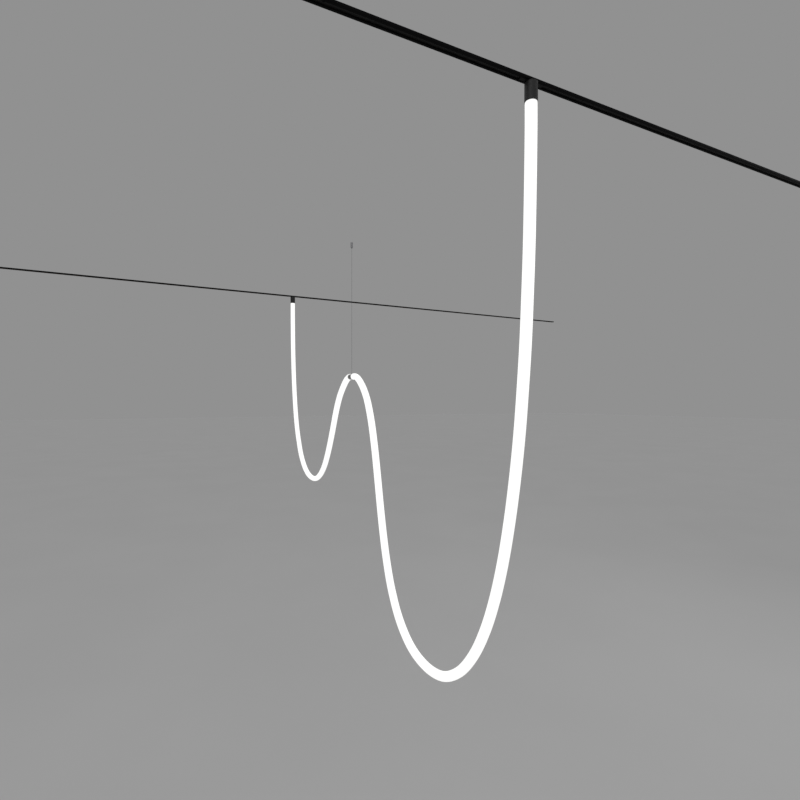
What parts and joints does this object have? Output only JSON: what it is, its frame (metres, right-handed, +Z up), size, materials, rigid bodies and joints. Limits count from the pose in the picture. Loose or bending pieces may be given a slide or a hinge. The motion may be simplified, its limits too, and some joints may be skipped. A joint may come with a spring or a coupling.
{
  "type": "track lighting fixture",
  "caption": "Glowing flexible light tube hung in two loops between two slim ceiling tracks, held up at its middle by a sleeve on a thin steel wire.",
  "frame": {"origin": "top centre of the middle wire fitting, on the ceiling plane", "axes": "+X along the tracks, +Y from the near track to the far track, +Z up"},
  "size_m": [3.704, 2.25, 1.4815],
  "materials": {
    "rail_black": "matt black anodised look",
    "liner_black": "moulded black insulator",
    "copper": "bare copper strip",
    "end_cap_black": "fine moulded texture",
    "joiner_steel": "zinc plated",
    "opal_silicone": "opal silicone, evenly lit",
    "tape_white": "white flexible circuit",
    "phosphor": "yellow phosphor under clear resin",
    "sleeve_grey": "satin grey metal",
    "core_aluminium": "turned",
    "screw_black": "blackened steel",
    "wire_steel": "twisted steel strands",
    "gripper_nickel": "satin nickel",
    "ball_steel": "polished",
    "spring_steel": "drawn spring wire",
    "shoe_black": "glass-filled nylon",
    "contact_gold": "sprung contact strip",
    "neck_steel": "turned",
    "lead": "insulated lead",
    "board_green": "solder mask",
    "plug_dark": "moulded plug",
    "cap_black": "matt black powder coat",
    "key_steel": "blackened steel"
  },
  "bodies": {
    "ceiling_set": {"near_rail_roof": "rail_black", "near_rail_walls": "rail_black", "near_rail_lips": "rail_black", "far_left_rail_roof": "rail_black", "far_left_rail_walls": "rail_black", "far_left_rail_lips": "rail_black", "far_right_rail_roof": "rail_black", "far_right_rail_walls": "rail_black", "far_right_rail_lips": "rail_black", "near_liner": "liner_black", "far_liner": "liner_black", "near_live_strip": "copper", "near_return_strip": "copper", "far_live_strip": "copper", "far_return_strip": "copper", "near_left_end_cap": "end_cap_black", "near_right_end_cap": "end_cap_black", "far_left_end_cap": "end_cap_black", "far_right_end_cap": "end_cap_black", "far_joiner": "joiner_steel", "tube_near": "opal_silicone", "tube_far": "opal_silicone", "tape_near": "tape_white", "tape_far": "tape_white", "phosphor_near": "phosphor", "phosphor_far": "phosphor", "sleeve_top": "sleeve_grey", "sleeve_bottom": "sleeve_grey", "sleeve_core": "core_aluminium", "sleeve_screws": "screw_black", "wire": "wire_steel", "wire_stop": "ball_steel", "gripper_body": "gripper_nickel", "gripper_balls": "ball_steel", "gripper_spring": "spring_steel"},
    "near_adapter": {"near_shoe": "shoe_black", "near_contacts": "contact_gold", "near_neck": "neck_steel", "near_leads": "lead", "near_holder": "core_aluminium", "near_board": "board_green", "near_plug": "plug_dark", "near_grubs": "screw_black"},
    "near_lock": {"near_cap": "cap_black", "near_key": "key_steel"},
    "far_adapter": {"far_shoe": "shoe_black", "far_contacts": "contact_gold", "far_neck": "neck_steel", "far_leads": "lead", "far_holder": "core_aluminium", "far_board": "board_green", "far_plug": "plug_dark", "far_grubs": "screw_black"},
    "far_lock": {"far_cap": "cap_black", "far_key": "key_steel"},
    "release": {"gripper_plunger": "gripper_nickel"}
  },
  "joints": [
    {"name": "near_slide", "type": "slide", "parent": "ceiling_set", "child": "near_adapter", "axis": [1, 0, 0], "range_m": [-0.4, 0.4], "deforming": ["tube_near", "tape_near", "phosphor_near"]},
    {"name": "near_lock_turn", "type": "hinge", "parent": "near_adapter", "child": "near_lock", "pos_m": [0, -1.111, -0.0065], "axis": [0, 0, 1], "range_deg": [0, 90]},
    {"name": "far_slide", "type": "slide", "parent": "ceiling_set", "child": "far_adapter", "axis": [1, 0, 0], "range_m": [-0.4, 0.4], "deforming": ["tube_far", "tape_far", "phosphor_far"]},
    {"name": "far_lock_turn", "type": "hinge", "parent": "far_adapter", "child": "far_lock", "pos_m": [0, 1.111, -0.0065], "axis": [0, 0, 1], "range_deg": [0, 90]},
    {"name": "release_push", "type": "slide", "parent": "ceiling_set", "child": "release", "axis": [0, 0, 1], "range_m": [0, 0.0018], "stiffness_N_per_m": 1200, "springref_m": -0.002, "deforming": ["gripper_spring"]}
  ]
}
